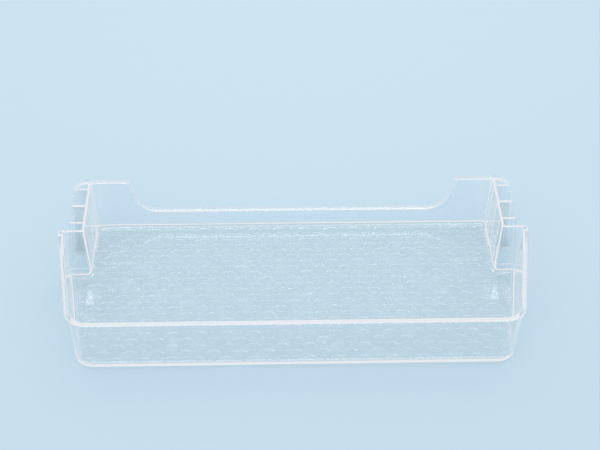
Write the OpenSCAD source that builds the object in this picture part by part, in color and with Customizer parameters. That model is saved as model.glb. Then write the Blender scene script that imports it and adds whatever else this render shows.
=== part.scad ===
// Fridge door tray, moulded in one piece of clear plastic.
// Frame: +X to the right, +Y to the door (back), +Z up, millimetres.
// The origin lies on the underside, in the middle of the tray's box.

/* [Base] */
// Width of the narrow rear part over its outer walls
rear_w = 400; // [340:1:460]
// Distance by which each shoulder of the front part stands out beyond the narrow part
shoulder_out = 20; // [14:1:30]
// Depth of the base, from the rear wall to the front wall
base_d = 183; // [150:1:230]
// Distance from the rear wall to the shoulders
shoulder_d = 68; // [64:1:90]
// Angle by which the front part's sides close in towards the front
side_angle = 9.5; // [0:0.5:14]
// Radius of the front corners
front_r = 18; // [10:1:30]
// Radius of the rear corners
rear_r = 6; // [3:0.5:8]
// Radius of the shoulders' outer corners
shoulder_r = 3; // [2:0.5:6]
// Radius of the outer corners where the narrow part meets the shoulders
neck_r = 2; // [1:0.5:5]

/* [Walls] */
// Height of the side and front walls
wall_h = 66; // [50:1:90]
// Thickness of the walls
wall_t = 2.4; // [1.6:0.1:3.2]
// Outward lean of the walls, for release from the mould
draft = 0.75; // [0:0.25:2]
// Height of the skirt below the floor, on which the tray stands
skirt_h = 3.6; // [2:0.2:6]
// Thickness of the floor
floor_t = 2.4; // [1.6:0.1:3.2]
// Radius of the fillet between the floor and the walls
floor_fillet = 4; // [2:0.5:8]

/* [Rim] */
// Reach of the rim's lip beyond the wall's outer face
lip_out = 2.4; // [1:0.2:4]
// Height of the lip's outer face
lip_h = 3; // [2:0.2:5]
// Break of the rim's top edges
lip_edge = 0.8; // [0.4:0.1:1]

/* [Rear wall] */
// Height of the rear wall between its ears
rear_low_h = 26.5; // [20:0.5:34]
// Width of each ear at the top, from the tray's outer side to the slope
ear_w = 39; // [30:1:60]
// Lean of the slope beside each ear
ear_slope = 15.5; // [5:0.5:25]
// Radius of the ear's upper corner
ear_r = 5.5; // [5.5:0.5:8]
// Radius where the slope runs out into the low edge
dip_r = 20; // [10:1:26]

/* [Side hangers] */
// Reach of the hangers beyond the tray's side, at the bottom
hang_reach = 20; // [14:1:26]
// Reach of the ribs beyond the tray's side, at the top
rib_top_reach = 14; // [10:1:14]
// Distance from one rib's middle to the next
rib_pitch = 22.6; // [18:0.2:24]
// Distance from the shoulder's rear face to the middle of the nearest rib
rib_gap = 11.4; // [8:0.2:14]
// Thickness of the ribs, the cap and the ledge
rib_t = 2.2; // [1.6:0.1:3]
// Height of the hangers' lower edge above the bottom
hang_z = 2; // [0:0.5:6]
// Radius of the ribs' upper outer corner
rib_r = 2; // [1:0.5:4]
// Radius of the rear flange's upper outer corner
flange_r = 19; // [8:1:20]

/* [Floor pattern] */
// Distance between neighbouring arches in a row
arch_w = 25.6; // [22:0.2:34]
// Distance from one row of arches to the next
arch_d = 7.5; // [6:0.1:10]
// Radius of an arch
arch_r = 10.4; // [8:0.1:12]
// Angle from an arch's crown to its ends
arch_angle = 52; // [40:1:60]
// Width of the ridge that draws an arch
ridge_w = 1.6; // [1:0.1:2]
// Height of the ridge below the floor
ridge_h = 0.5; // [0.3:0.1:0.8]
// Plain border between the arches and the tray's outer walls
border = 5.4; // [4.5:0.1:14]

/* [Hidden] */
// Smallest radius that is left to a corner when the outline is set inwards
least_r = 0.5;
// How far cuts run past the faces they open
past = 1;
// How far joined bodies reach into each other
bite = wall_t / 2;
half_rear = rear_w / 2;
half_front = half_rear + shoulder_out;
floor_z = skirt_h + floor_t;
// The lip on the front and on the rear wall sets the overall depth
front_lean = wall_h * tan(draft);
overall_d = base_d + front_lean + 2 * lip_out;
back_y = overall_d / 2 - lip_out;
front_y = back_y - base_d;
shoulder_y = back_y - shoulder_d;
// Middles of the tray's corners on the right side, each as [x, y]
front_middle = [half_front - (base_d - shoulder_d - front_r) * tan(side_angle)
    - front_r / cos(side_angle), front_y + front_r];
shoulder_middle = [half_front - shoulder_r * (tan(side_angle) + 1 / cos(side_angle)),
    shoulder_y - shoulder_r];
neck_middle = [half_rear + neck_r, shoulder_y + neck_r];
rear_middle = [half_rear - rear_r, back_y - rear_r];

// Points of an arc about [x, z], with radius r, from angle a0 to a1
function arc(x, z, r, a0, a1, n = 8) =
    [for (i = [0:n]) let (a = a0 + (a1 - a0) * i / n) [x + r * cos(a), z + r * sin(a)]];

function reversed(points) = [for (i = [len(points) - 1:-1:0]) points[i]];

function mirrored(points) = [for (p = reversed(points)) [-p[0], p[1]]];

// Outward lean of the walls at height z
function lean(z) = z * tan(draft);

// Arc of a rounded corner whose two walls are set outwards by grow. Where that leaves
// less than the least radius, the arc keeps it and its middle moves off the walls.
function corner(middle, r, grow, a0, a1) =
    let (arc_r = max(r + grow, least_r))
    let (shift = (arc_r - r - grow) / cos((a1 - a0) / 2))
    let (a = (a0 + a1) / 2)
    arc(middle[0] - shift * cos(a), middle[1] - shift * sin(a), arc_r, a0, a1);

// Plan of the tray, set outwards by grow: the right half from front to back, then the left
function outline(grow) =
    let (right = concat(
        corner(front_middle, front_r, grow, -90, -side_angle),
        corner(shoulder_middle, shoulder_r, grow, -side_angle, 90),
        corner(neck_middle, neck_r, -grow, 270, 180),
        corner(rear_middle, rear_r, grow, 0, 90)))
    concat(right, mirrored(right));

// Solid that follows the tray's plan through levels from the bottom up: [height, grow]
module loft(levels) {
    rings = [for (level = levels) outline(level[1])];
    n = len(rings[0]);
    top = len(levels) - 1;
    polyhedron(
        points = [for (i = [0:top]) for (p = rings[i]) [p[0], p[1], levels[i][0]]],
        faces = concat(
            [[for (k = [0:n - 1]) k]],
            [[for (k = [n - 1:-1:0]) top * n + k]],
            [for (i = [0:top - 1]) for (k = [0:n - 1])
                [i * n + k, (i + 1) * n + k, (i + 1) * n + (k + 1) % n, i * n + (k + 1) % n]]));
}

// Tray's block with its leaning sides
module block() {
    loft([[0, 0], [wall_h, lean(wall_h)]]);
}

// Lip round the front part's rim, undercut at 45 degrees and broken at the top
module front_lip() {
    wall = lean(wall_h);
    difference() {
        loft([
            [wall_h - lip_h - lip_out, wall - lip_edge],
            [wall_h - lip_h, wall + lip_out],
            [wall_h - lip_edge, wall + lip_out],
            [wall_h, wall + lip_out - lip_edge]]);
        translate([-2 * half_front, shoulder_y, 0])
            cube([4 * half_front, base_d, 2 * wall_h]);
    }
}

// Inside of the tray down to the floor, with the fillet at the foot of its walls
module hollow() {
    wall = lean(wall_h) - wall_t;
    fillet = [for (a = [0:22.5:90]) let (z = floor_z + floor_fillet * (1 - cos(a)))
        [z, lean(z) - wall_t - floor_fillet * (1 - sin(a))]];
    loft(concat(fillet, [
        [wall_h - lip_edge, wall],
        [wall_h, wall + lip_edge],
        [wall_h + past, wall + lip_edge]]));
}

// Space under the floor, inside the skirt
module under_hollow() {
    loft([[-past, -wall_t], [skirt_h, -wall_t]]);
}

// Half of the tray's width at y, over the outer walls at the bottom
function half_width(y) =
    y > shoulder_y ? half_rear :
    y > front_middle[1] ? half_front - (shoulder_y - y) * tan(side_angle) :
    front_middle[0] + sqrt(max(0, front_r ^ 2 - (front_middle[1] - y) ^ 2));

// Half of an arch's width and its depth, over the ridge
arch_half = arch_r * sin(arch_angle) + ridge_w / 2;
arch_sag = arch_r * (1 - cos(arch_angle)) + ridge_w;

// Crowns of the arches as [x, y], row by row from the back. Rows have in turn the gap
// between two arches or an arch on the middle line, and only whole arches are kept.
crowns = [for (row = [0:floor((base_d - 2 * border - arch_sag) / arch_d)])
    let (y = back_y - border - ridge_w / 2 - row * arch_d)
    let (room = min(half_width(y), half_width(y - arch_sag)) - border - arch_half)
    let (first = row % 2 == 0 ? arch_w / 2 : 0)
    for (x = [first:arch_w:room]) each x == 0 ? [[0, y]] : [[-x, y], [x, y]]];

// One arch: a ridge under the floor, its crown at the origin and its root in the floor
module arch() {
    translate([0, -arch_r, skirt_h])
        rotate(90 - arch_angle)
            rotate_extrude(angle = 2 * arch_angle, $fn = 13)
                polygon([
                    [arch_r - ridge_w, ridge_h],
                    [arch_r, -ridge_h],
                    [arch_r + ridge_w, ridge_h]]);
}

// Wave-scale pattern: rows of arches under the floor
module arches() {
    for (crown = crowns)
        translate(crown)
            arch();
}

// Middle of the arc that leads from the low edge into the slope
dip_z = rear_low_h + dip_r;
dip_x = half_rear - ear_w - (wall_h - dip_z) * tan(ear_slope) - dip_r / cos(ear_slope);
// Middle of the ear's upper corner
ear_z = wall_h - ear_r;
ear_x = half_rear - ear_w - ear_r * tan(ear_slope) + ear_r / cos(ear_slope);

// The rear wall's upper edge from the middle to the ear, set into the wall by d
function dip_edge(d) = concat(
    [[0, rear_low_h - d]],
    arc(dip_x, dip_z, dip_r + d, -90, -ear_slope),
    arc(ear_x, ear_z, ear_r - d, 180 - ear_slope, 90));

// The flange's rounded upper corner, set into the flange by d
function flange_edge(d) =
    arc(half_rear + hang_reach - flange_r, wall_h - flange_r, flange_r - d, 90, 0);

// Upright plate of a profile in X and Z, t thick, its rear face at y
module upright(profile, y, t) {
    translate([0, y, 0])
        rotate([90, 0, 0])
            linear_extrude(t)
                polygon(profile);
}

// Opening above the rear wall's low middle, between the ears
module rear_dip() {
    right = concat(dip_edge(0), [[ear_x, wall_h + past]]);
    upright(concat(mirrored(right), right), back_y + past, wall_t + floor_fillet + past);
}

// Flanges that carry the rear wall on past the tray's sides
module rear_flanges() {
    profile = concat([[half_rear - bite, hang_z], [half_rear - bite, wall_h]],
        flange_edge(0), [[half_rear + hang_reach, hang_z]]);
    upright(profile, back_y, wall_t);
    upright(mirrored(profile), back_y, wall_t);
}

// Lip that runs along the rear wall's upper edge and out over the flanges
module rear_lip() {
    right = concat(dip_edge(0), flange_edge(0),
        reversed(flange_edge(lip_h)), reversed(dip_edge(lip_h)));
    upright(right, back_y + lip_out, lip_out + bite);
    upright(mirrored(right), back_y + lip_out, lip_out + bite);
}

// One rib across the tray's right side, its middle at y
module rib(y) {
    profile = concat(
        [[half_rear - bite, hang_z], [half_rear + hang_reach, hang_z]],
        arc(half_rear + rib_top_reach - rib_r, wall_h - rib_r, rib_r, 0, 90),
        [[half_rear - bite, wall_h]]);
    upright(profile, y + rib_t / 2, rib_t);
}

// Ribs, cap and ledge on the right side. The cap closes the pocket that hangs on the
// door's lug, and the ledge closes the one behind it from below.
module hanger() {
    first_y = shoulder_y + rib_gap;
    side_x = half_rear - bite;
    for (i = [0:2])
        rib(first_y + i * rib_pitch);
    translate([side_x, first_y, wall_h - rib_t])
        cube([rib_top_reach - rib_r + bite, rib_pitch, rib_t]);
    translate([side_x, first_y + rib_pitch, hang_z])
        cube([hang_reach - rib_r + bite, rib_pitch, rib_t]);
}

module door_tray() {
    color([0.86, 0.93, 0.96, 0.5]) {
        difference() {
            union() {
                block();
                front_lip();
            }
            hollow();
            under_hollow();
            rear_dip();
        }
        arches();
        rear_flanges();
        rear_lip();
        hanger();
        mirror([1, 0, 0])
            hanger();
    }
}

door_tray();
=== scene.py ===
import math

import bmesh
import bpy
from mathutils import Matrix, Vector


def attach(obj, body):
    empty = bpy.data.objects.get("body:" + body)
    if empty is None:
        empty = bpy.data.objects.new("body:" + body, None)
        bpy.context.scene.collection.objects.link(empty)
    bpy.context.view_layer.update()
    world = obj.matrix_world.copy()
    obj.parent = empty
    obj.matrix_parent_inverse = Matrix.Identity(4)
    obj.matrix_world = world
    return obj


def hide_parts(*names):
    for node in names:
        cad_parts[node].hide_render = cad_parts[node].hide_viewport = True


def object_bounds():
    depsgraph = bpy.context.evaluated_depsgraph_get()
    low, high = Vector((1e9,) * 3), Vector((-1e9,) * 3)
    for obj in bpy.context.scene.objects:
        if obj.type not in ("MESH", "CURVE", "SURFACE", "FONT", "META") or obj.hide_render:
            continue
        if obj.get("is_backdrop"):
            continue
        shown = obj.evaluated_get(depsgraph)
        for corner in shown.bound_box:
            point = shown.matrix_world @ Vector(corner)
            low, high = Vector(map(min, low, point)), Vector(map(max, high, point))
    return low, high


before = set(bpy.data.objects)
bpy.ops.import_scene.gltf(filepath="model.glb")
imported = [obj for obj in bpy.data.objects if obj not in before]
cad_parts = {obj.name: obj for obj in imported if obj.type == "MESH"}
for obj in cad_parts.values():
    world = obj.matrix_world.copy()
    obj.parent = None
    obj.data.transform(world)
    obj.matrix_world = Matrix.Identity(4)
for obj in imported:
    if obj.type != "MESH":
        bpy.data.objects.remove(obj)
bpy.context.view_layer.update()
scene = bpy.context.scene
scene.view_settings.view_transform = "Standard"

# Camera. The photograph looks down on the tray from the front, a little from its left,
# with a long lens, and leans very slightly to one side.
CAMERA_PLACE = (-0.0219, -0.7723, 0.8733)
CAMERA_PITCH = math.radians(45.23)
CAMERA_YAW = math.radians(-1.99)
CAMERA_ROLL = math.radians(0.78)
CAMERA_LENS = 71.7

camera = bpy.data.objects.new("camera", bpy.data.cameras.new("camera"))
scene.collection.objects.link(camera)
camera.data.lens = CAMERA_LENS
camera.data.sensor_width = 36.0
camera.data.clip_end = 20.0
camera.matrix_world = (
    Matrix.Translation(CAMERA_PLACE)
    @ Matrix.Rotation(CAMERA_YAW, 4, "Z")
    @ Matrix.Rotation(math.pi / 2 - CAMERA_PITCH, 4, "X")
    @ Matrix.Rotation(CAMERA_ROLL, 4, "Z")
)
scene.camera = camera

# Studio floor and lamps. A plain pale floor under an even white surround, one long soft
# lamp above the tray, which draws the bright lines on its edges, and a weaker one in front.
FLOOR_SIZE = 6.0
FLOOR_COLOUR = (0.56, 0.70, 0.79, 1.0)

floor_mesh = bpy.data.meshes.new("floor")
floor_mesh.from_pydata(
    [(x * FLOOR_SIZE / 2, y * FLOOR_SIZE / 2, 0.0) for x, y in ((-1, -1), (1, -1), (1, 1), (-1, 1))],
    [], [(0, 1, 2, 3)])
floor = bpy.data.objects.new("floor", floor_mesh)
scene.collection.objects.link(floor)
floor_material = bpy.data.materials.new("studio_floor")
floor_material.use_nodes = True
floor_shader = floor_material.node_tree.nodes["Principled BSDF"]
floor_shader.inputs["Base Color"].default_value = FLOOR_COLOUR
floor_shader.inputs["Roughness"].default_value = 0.9
floor_mesh.materials.append(floor_material)
floor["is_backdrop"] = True


def soft_lamp(name, place, size, power):
    lamp = bpy.data.lights.new(name, "AREA")
    lamp.shape = "RECTANGLE"
    lamp.size, lamp.size_y = size
    lamp.energy = power
    holder = bpy.data.objects.new(name, lamp)
    scene.collection.objects.link(holder)
    holder.location = place
    holder.rotation_euler = (-Vector(place)).to_track_quat("-Z", "Y").to_euler()


soft_lamp("overhead_lamp", (0.1, 0.75, 1.75), (1.5, 0.5), 9.0)
soft_lamp("front_lamp", (-1.1, -1.2, 1.2), (0.9, 0.9), 2.5)

world = bpy.data.worlds.new("studio")
world.use_nodes = True
world.node_tree.nodes["Background"].inputs["Color"].default_value = (0.93, 0.96, 1.0, 1.0)
world.node_tree.nodes["Background"].inputs["Strength"].default_value = 0.86
scene.world = world

# Door tray. One injection moulding of clear polystyrene: a floor on a low skirt, upright
# walls with a rolled lip, a rear wall with two ears, and ribs on both sides that hang on
# the door. The fine wave-scale relief is cut into the mould under the floor.
REAR_WIDTH = 0.400
SHOULDER_OUT = 0.020
BASE_DEPTH = 0.183
SHOULDER_DEPTH = 0.068
SIDE_ANGLE = math.radians(9.5)
FRONT_RADIUS = 0.018
REAR_RADIUS = 0.006
SHOULDER_RADIUS = 0.003
NECK_RADIUS = 0.002
LEAST_RADIUS = 0.0006
WALL_HEIGHT = 0.066
WALL = 0.0024
DRAFT = math.radians(0.75)
SKIRT = 0.0036
FLOOR = 0.0024
FLOOR_FILLET = 0.004
LIP_OUT = 0.0024
LIP_HEIGHT = 0.003
RIM_ROUND = 0.0008
FOOT_ROUND = 0.0006
REAR_LOW = 0.0265
EAR_WIDTH = 0.039
EAR_SLOPE = math.radians(15.5)
EAR_RADIUS = 0.0055
DIP_RADIUS = 0.020
HANG_REACH = 0.020
RIB_TOP_REACH = 0.014
RIB_PITCH = 0.0226
RIB_GAP = 0.0114
RIB = 0.0022
RIB_FOOT = 0.002
RIB_RADIUS = 0.002
FLANGE_RADIUS = 0.019
PLATE_ROUND = 0.0004
BITE = WALL / 2
ARCH_PITCH = 0.0256
ARCH_ROW = 0.0075
ARCH_RADIUS = 0.0104
ARCH_HALF_ANGLE = 52.0
INNER_ARCH_RADIUS = 0.0032
INNER_ARCH_HALF_ANGLE = 60.0
RIDGE_WIDTH = 0.0016
RIDGE_HEIGHT = 0.0004
BORDER = 0.0054
# The bead on the rear wall covers the wall's own top edge, which stays this much lower
BEAD_SINK = 0.0004

BACK_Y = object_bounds()[1][1] - LIP_OUT
FRONT_Y = BACK_Y - BASE_DEPTH
SHOULDER_Y = BACK_Y - SHOULDER_DEPTH
HALF_REAR = REAR_WIDTH / 2
HALF_FRONT = HALF_REAR + SHOULDER_OUT
FRONT_MIDDLE = (
    HALF_FRONT - (BASE_DEPTH - SHOULDER_DEPTH - FRONT_RADIUS) * math.tan(SIDE_ANGLE)
    - FRONT_RADIUS / math.cos(SIDE_ANGLE), FRONT_Y + FRONT_RADIUS)
SHOULDER_MIDDLE = (
    HALF_FRONT - SHOULDER_RADIUS * (math.tan(SIDE_ANGLE) + 1 / math.cos(SIDE_ANGLE)),
    SHOULDER_Y - SHOULDER_RADIUS)
NECK_MIDDLE = (HALF_REAR + NECK_RADIUS, SHOULDER_Y + NECK_RADIUS)
REAR_MIDDLE = (HALF_REAR - REAR_RADIUS, BACK_Y - REAR_RADIUS)


def arc(middle, radius, start, end, steps):
    """Points of an arc from angle start to end, in degrees."""
    turns = [math.radians(start + (end - start) * i / steps) for i in range(steps + 1)]
    return [(middle[0] + radius * math.cos(a), middle[1] + radius * math.sin(a)) for a in turns]


def corner(middle, radius, grow, start, end, steps):
    """A rounded corner set outwards by grow, which keeps at least the least radius."""
    kept = max(radius + grow, LEAST_RADIUS)
    shift = (kept - radius - grow) / math.cos(math.radians(end - start) / 2)
    turn = math.radians(start + end) / 2
    moved = (middle[0] - shift * math.cos(turn), middle[1] - shift * math.sin(turn))
    return arc(moved, kept, start, end, steps)


def lean(z):
    return z * math.tan(DRAFT)


DIP_MIDDLE = (
    HALF_REAR - EAR_WIDTH - (WALL_HEIGHT - REAR_LOW - DIP_RADIUS) * math.tan(EAR_SLOPE)
    - DIP_RADIUS / math.cos(EAR_SLOPE), REAR_LOW + DIP_RADIUS)
EAR_MIDDLE = (
    HALF_REAR - EAR_WIDTH - EAR_RADIUS * math.tan(EAR_SLOPE) + EAR_RADIUS / math.cos(EAR_SLOPE),
    WALL_HEIGHT - EAR_RADIUS)
FLANGE_MIDDLE = (HALF_REAR + HANG_REACH - FLANGE_RADIUS, WALL_HEIGHT - FLANGE_RADIUS)


def dip_edge(depth):
    """The rear wall's upper edge as (x, z), from the ear to the middle, set down by depth."""
    slope = math.degrees(EAR_SLOPE)
    return (
        arc(EAR_MIDDLE, EAR_RADIUS - depth, 90, 180 - slope, 10)
        + arc(DIP_MIDDLE, DIP_RADIUS + depth, -slope, -90, 14)
        + [(0.0, REAR_LOW - depth)])


def flange_edge(depth):
    """The flange's rounded upper corner as (x, z), from its end to the top."""
    return arc(FLANGE_MIDDLE, FLANGE_RADIUS - depth, 0, 90, 14)


def ring(inset, height=None, depth=None, lip=0.0):
    """One line round the tray, inset from the outer face: at a height, or at a depth
    below the upper edge. The lip widens it along the front part only."""
    z = WALL_HEIGHT - depth if height is None else height
    grow = lean(z) + inset
    slope = math.degrees(SIDE_ANGLE)
    front = (
        corner(FRONT_MIDDLE, FRONT_RADIUS, grow + lip, -90, -slope, 20)
        + corner(SHOULDER_MIDDLE, SHOULDER_RADIUS, grow + lip, -slope, 90, 8))
    front = [(x, min(y, SHOULDER_Y + grow), z) for x, y in front]
    rear = (
        corner(NECK_MIDDLE, NECK_RADIUS, -grow, 270, 180, 6)
        + corner(REAR_MIDDLE, REAR_RADIUS, grow, 0, 90, 8))
    right = front + [(x, y, z) for x, y in rear]
    edge = dip_edge(0.0 if depth is None else depth + BEAD_SINK)
    for x, edge_z in edge:
        at = z if depth is None else edge_z
        right.append((x, BACK_Y + lean(at) + inset, at))
    left = [(-x, y, at) for x, y, at in reversed(right[:-1])]
    return right + left


def shell_rings():
    """Rings from the underside of the floor, round the foot, the walls and the rim, to the
    top of the floor."""
    quarter = [math.radians(a) for a in (0, 22.5, 45, 67.5, 90)]
    rings = [ring(-WALL, height=SKIRT)]
    rings += [ring(-WALL + FOOT_ROUND * (1 - math.cos(a)), height=FOOT_ROUND * (1 - math.sin(a)))
              for a in quarter]
    rings += [ring(-FOOT_ROUND * (1 - math.sin(a)), height=FOOT_ROUND * (1 - math.cos(a)))
              for a in quarter]
    under = LIP_HEIGHT + LIP_OUT
    rings += [ring(0.0, depth=under)]
    rings += [ring(0.0, depth=LIP_HEIGHT + RIM_ROUND, lip=LIP_OUT - RIM_ROUND)]
    rings += [ring(0.0, depth=LIP_HEIGHT + 0.2 * RIM_ROUND, lip=LIP_OUT - 0.2 * RIM_ROUND)]
    rings += [ring(0.0, depth=LIP_HEIGHT - 0.5 * RIM_ROUND, lip=LIP_OUT)]
    rings += [ring(-RIM_ROUND * (1 - math.cos(a)), depth=RIM_ROUND * (1 - math.sin(a)), lip=LIP_OUT)
              for a in quarter]
    rings += [ring(-WALL + RIM_ROUND * (1 - math.sin(a)), depth=RIM_ROUND * (1 - math.cos(a)))
              for a in quarter]
    floor_z = SKIRT + FLOOR
    foot = [math.radians(a) for a in (90, 75, 60, 45, 30, 15, 0)]
    rings += [ring(-WALL - FLOOR_FILLET * (1 - math.sin(a)),
                   height=floor_z + FLOOR_FILLET * (1 - math.cos(a))) for a in foot]
    return rings


def loft(name, rings):
    """A closed mesh through rings that all have as many points."""
    count = len(rings[0])
    faces = [tuple(reversed(range(count)))]
    for i in range(len(rings) - 1):
        for k in range(count):
            after = (k + 1) % count
            faces.append((i * count + k, i * count + after,
                          (i + 1) * count + after, (i + 1) * count + k))
    faces.append(tuple((len(rings) - 1) * count + k for k in range(count)))
    mesh = bpy.data.meshes.new(name)
    mesh.from_pydata([p for line in rings for p in line], [], faces)
    mesh.validate()
    piece = bpy.data.objects.new(name, mesh)
    scene.collection.objects.link(piece)
    return piece


def recalculate(mesh):
    """Point all faces of a closed mesh outwards and drop doubled points."""
    work = bmesh.new()
    work.from_mesh(mesh)
    bmesh.ops.remove_doubles(work, verts=work.verts, dist=1e-7)
    bmesh.ops.recalc_face_normals(work, faces=work.faces)
    work.to_mesh(mesh)
    work.free()


def plate(name, profile, rear_y, thickness, rounding, lean_inner=False):
    """An upright plate of a profile in X and Z, its edges rounded, its rear face at rear_y."""
    front = [(x, rear_y - thickness + (lean(z) if lean_inner else 0.0), z) for x, z in profile]
    back = [(x, rear_y, z) for x, z in profile]
    piece = loft(name, [front, back])
    recalculate(piece.data)
    work = bmesh.new()
    work.from_mesh(piece.data)
    hard = [e for e in work.edges if len(e.link_faces) == 2 and e.calc_face_angle() > math.radians(30)]
    bmesh.ops.bevel(work, geom=hard, offset=rounding, segments=3, profile=0.5,
                    affect="EDGES", clamp_overlap=True)
    work.to_mesh(piece.data)
    work.free()
    return piece


def mirrored(profile):
    return [(-x, z) for x, z in reversed(profile)]


def rear_plates():
    """The bead along the rear wall's upper edge, and the flanges beyond the sides."""
    upper = flange_edge(0.0) + dip_edge(0.0)
    lower = flange_edge(LIP_HEIGHT) + dip_edge(LIP_HEIGHT)
    top = upper[:-1] + [(-x, z) for x, z in reversed(upper)][1:]
    bottom = lower[:-1] + [(-x, z) for x, z in reversed(lower)][1:]
    made = [plate("bead", top + bottom[::-1], BACK_Y + LIP_OUT, WALL + LIP_OUT, 0.0007, True)]
    flange = [(HALF_REAR + HANG_REACH, RIB_FOOT)] + flange_edge(0.0005) + [
        (HALF_REAR - BITE, WALL_HEIGHT - 0.0005), (HALF_REAR - BITE, RIB_FOOT)]
    made.append(plate("flange", flange, BACK_Y, WALL, PLATE_ROUND))
    made.append(plate("flange", mirrored(flange), BACK_Y, WALL, PLATE_ROUND))
    return made


def hanger_plates():
    """Ribs, cap and ledge of both sides."""
    top_x = HALF_REAR + RIB_TOP_REACH
    rib = [(HALF_REAR - BITE, RIB_FOOT), (HALF_REAR + HANG_REACH, RIB_FOOT)] + arc(
        (top_x - RIB_RADIUS, WALL_HEIGHT - RIB_RADIUS), RIB_RADIUS, 0, 90, 6) + [
        (HALF_REAR - BITE, WALL_HEIGHT)]
    first = SHOULDER_Y + RIB_GAP
    cap_end = top_x - RIB_RADIUS
    cap = [(HALF_REAR - BITE, WALL_HEIGHT - RIB), (cap_end, WALL_HEIGHT - RIB),
           (cap_end, WALL_HEIGHT), (HALF_REAR - BITE, WALL_HEIGHT)]
    ledge_end = HALF_REAR + HANG_REACH - RIB_RADIUS
    ledge = [(HALF_REAR - BITE, RIB_FOOT), (ledge_end, RIB_FOOT),
             (ledge_end, RIB_FOOT + RIB), (HALF_REAR - BITE, RIB_FOOT + RIB)]
    made = []
    for turn in (lambda p: p, mirrored):
        for i in range(3):
            made.append(plate("rib", turn(rib), first + i * RIB_PITCH + RIB / 2, RIB, PLATE_ROUND))
        made.append(plate("cap", turn(cap), first + RIB_PITCH, RIB_PITCH, PLATE_ROUND))
        made.append(plate("ledge", turn(ledge), first + 2 * RIB_PITCH, RIB_PITCH, PLATE_ROUND))
    return made


def combine(body, others, operation):
    """Join the other pieces into the body, or keep only what they share."""
    for other in others:
        step = body.modifiers.new("combine", "BOOLEAN")
        step.operation = operation
        step.solver = "MANIFOLD"
        step.object = other
    bpy.context.view_layer.update()
    done = body.evaluated_get(bpy.context.evaluated_depsgraph_get())
    mesh = bpy.data.meshes.new_from_object(done)
    body.modifiers.clear()
    body.data = mesh
    for other in others:
        bpy.data.objects.remove(other)


def ridge(points, faces, middle, radius, half_angle, width, height, steps):
    """One arched ridge under the floor: rounded below, its root inside the floor, its
    height running out towards both ends."""
    start = len(points)
    turns = [math.radians(a) for a in (0, 30, 60, 90, 120, 150, 180)]
    for i in range(steps + 1):
        along = -1 + 2 * i / steps
        turn = math.radians(90 - half_angle * along)
        low = height * (1 - 0.9 * abs(along) ** 4)
        section = [(radius + width / 2, SKIRT + 0.0003)]
        section += [(radius + width / 2 * math.cos(t), SKIRT - low * math.sin(t)) for t in turns]
        section += [(radius - width / 2, SKIRT + 0.0003)]
        points += [(middle[0] + r * math.cos(turn), middle[1] + r * math.sin(turn), z)
                   for r, z in section]
    count = len(turns) + 2
    faces.append(tuple(start + k for k in range(count)))
    for i in range(steps):
        for k in range(count):
            after = (k + 1) % count
            faces.append((start + i * count + k, start + (i + 1) * count + k,
                          start + (i + 1) * count + after, start + i * count + after))
    faces.append(tuple(start + steps * count + k for k in reversed(range(count))))


def relief():
    """Rows of arches, each with a small arch inside, cut off at the plain border."""
    points, faces = [], []
    rows = int((BASE_DEPTH - BORDER) / ARCH_ROW) + 1
    columns = int(HALF_FRONT / ARCH_PITCH) + 2
    for row in range(-1, rows + 1):
        crown_y = BACK_Y - BORDER - RIDGE_WIDTH / 2 - row * ARCH_ROW
        shift = ARCH_PITCH / 2 if row % 2 == 0 else 0.0
        for column in range(-columns, columns + 1):
            middle = (column * ARCH_PITCH + shift, crown_y - ARCH_RADIUS)
            ridge(points, faces, middle, ARCH_RADIUS, ARCH_HALF_ANGLE,
                  RIDGE_WIDTH, RIDGE_HEIGHT, 14)
            ridge(points, faces, middle, INNER_ARCH_RADIUS, INNER_ARCH_HALF_ANGLE,
                  0.8 * RIDGE_WIDTH, 0.7 * RIDGE_HEIGHT, 8)
    mesh = bpy.data.meshes.new("relief")
    mesh.from_pydata(points, [], faces)
    arches = bpy.data.objects.new("relief", mesh)
    scene.collection.objects.link(arches)
    recalculate(mesh)
    keep = loft("relief_border", [ring(-BORDER, height=0.001), ring(-BORDER, height=SKIRT + 0.001)])
    recalculate(keep.data)
    combine(arches, [keep], "INTERSECT")
    return arches


def drop_slivers(piece):
    """Rebuild a joined mesh from triangles over shared points, without the slivers of no
    thickness that a join leaves back to back."""
    same_digits = 8
    joined = piece.data
    joined.calc_loop_triangles()
    number_at, points, number = {}, [], []
    for vertex in joined.vertices:
        place = tuple(round(c, same_digits) for c in vertex.co)
        if place not in number_at:
            number_at[place] = len(points)
            points.append(place)
        number.append(number_at[place])
    sides = {}
    for triangle in joined.loop_triangles:
        corners = tuple(number[i] for i in triangle.vertices)
        sides.setdefault(frozenset(corners), []).append(corners)
    faces = [found[0] for key, found in sides.items() if len(key) == 3 and len(found) == 1]
    mesh = bpy.data.meshes.new(piece.name)
    mesh.from_pydata(points, [], faces)
    piece.data = mesh


tray = loft("clear_door_tray", shell_rings())
recalculate(tray.data)
combine(tray, rear_plates() + hanger_plates() + [relief()], "UNION")
drop_slivers(tray)

clear_plastic = bpy.data.materials.new("clear_plastic")
clear_plastic.use_nodes = True
nodes = clear_plastic.node_tree.nodes
links = clear_plastic.node_tree.links
shader = nodes["Principled BSDF"]
shader.inputs["Base Color"].default_value = (0.975, 0.988, 0.992, 1.0)
shader.inputs["IOR"].default_value = 1.59
shader.inputs["Transmission Weight"].default_value = 1.0

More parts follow.
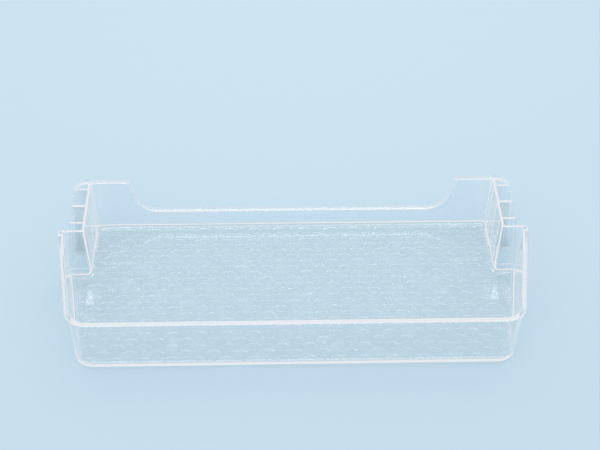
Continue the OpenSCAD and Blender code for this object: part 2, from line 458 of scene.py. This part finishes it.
# Faint flow waves of the moulding, and a haze of fine handling marks
place = nodes.new("ShaderNodeTexCoord")
waves = nodes.new("ShaderNodeTexNoise")
waves.inputs["Scale"].default_value = 26.0
waves.inputs["Detail"].default_value = 2.0
links.new(place.outputs["Object"], waves.inputs["Vector"])
bump = nodes.new("ShaderNodeBump")
bump.inputs["Strength"].default_value = 0.12
bump.inputs["Distance"].default_value = 0.0006
links.new(waves.outputs["Fac"], bump.inputs["Height"])
links.new(bump.outputs["Normal"], shader.inputs["Normal"])
marks = nodes.new("ShaderNodeTexNoise")
marks.inputs["Scale"].default_value = 90.0
marks.inputs["Detail"].default_value = 6.0
links.new(place.outputs["Object"], marks.inputs["Vector"])
haze = nodes.new("ShaderNodeMapRange")
haze.inputs["From Min"].default_value = 0.35
haze.inputs["From Max"].default_value = 0.75
haze.inputs["To Min"].default_value = 0.02
haze.inputs["To Max"].default_value = 0.09
links.new(marks.outputs["Fac"], haze.inputs["Value"])
links.new(haze.outputs["Result"], shader.inputs["Roughness"])

# Light passes on to the floor through the plastic, a little of it lost at each wall, and rays past the
# sixth bounce pass straight through. Rays from their second glossy bounce inside a wall meet a soft
# white emission instead: a painted glow that keeps the rims and edges as white as the surround.
MOST_WALLS = 5.5
MOST_TURNS = 1.5
THROUGH_COLOUR = (0.92, 0.935, 0.94, 1.0)
# Colour and strength of the painted glow, an emission on the rims and edges
PAINTED_GLOW_COLOUR = (0.93, 0.96, 1.0, 1.0)
PAINTED_GLOW_STRENGTH = 0.88


def math_node(operation, first, second):
    """A Math node on two sockets, or on a socket and a number."""
    node = nodes.new("ShaderNodeMath")
    node.operation = operation
    for place, value in zip(node.inputs, (first, second)):
        if isinstance(value, float):
            place.default_value = value
        else:
            links.new(value, place)
    return node.outputs["Value"]


rays = nodes.new("ShaderNodeLightPath").outputs
lighting = math_node("MAXIMUM", rays["Is Shadow Ray"], rays["Is Diffuse Ray"])
far_in = math_node("GREATER_THAN", rays["Ray Depth"], MOST_WALLS)
turned = math_node("GREATER_THAN", rays["Glossy Depth"], MOST_TURNS)
passing = nodes.new("ShaderNodeBsdfTransparent")
passing.inputs["Color"].default_value = THROUGH_COLOUR
walls = nodes.new("ShaderNodeMixShader")
links.new(math_node("MAXIMUM", lighting, far_in), walls.inputs["Fac"])
links.new(shader.outputs["BSDF"], walls.inputs[1])
links.new(passing.outputs["BSDF"], walls.inputs[2])
# Emission for rays from their second glossy bounce on: a painted glow on the edges, not a lamp
painted_edge_glow = nodes.new("ShaderNodeEmission")
painted_edge_glow.inputs["Color"].default_value = PAINTED_GLOW_COLOUR
painted_edge_glow.inputs["Strength"].default_value = PAINTED_GLOW_STRENGTH
edges = nodes.new("ShaderNodeMixShader")
links.new(turned, edges.inputs["Fac"])
links.new(walls.outputs["Shader"], edges.inputs[1])
links.new(painted_edge_glow.outputs["Emission"], edges.inputs[2])
links.new(edges.outputs["Shader"], nodes["Material Output"].inputs["Surface"])
clear_plastic.cycles.emission_sampling = "NONE"
tray.data.materials.clear()
tray.data.materials.append(clear_plastic)
tray.data.shade_smooth()
tray.data.set_sharp_from_angle(angle=math.radians(35))
normals = tray.modifiers.new("flat_walls", "WEIGHTED_NORMAL")
normals.keep_sharp = True
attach(tray, "root")
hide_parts("door_tray")
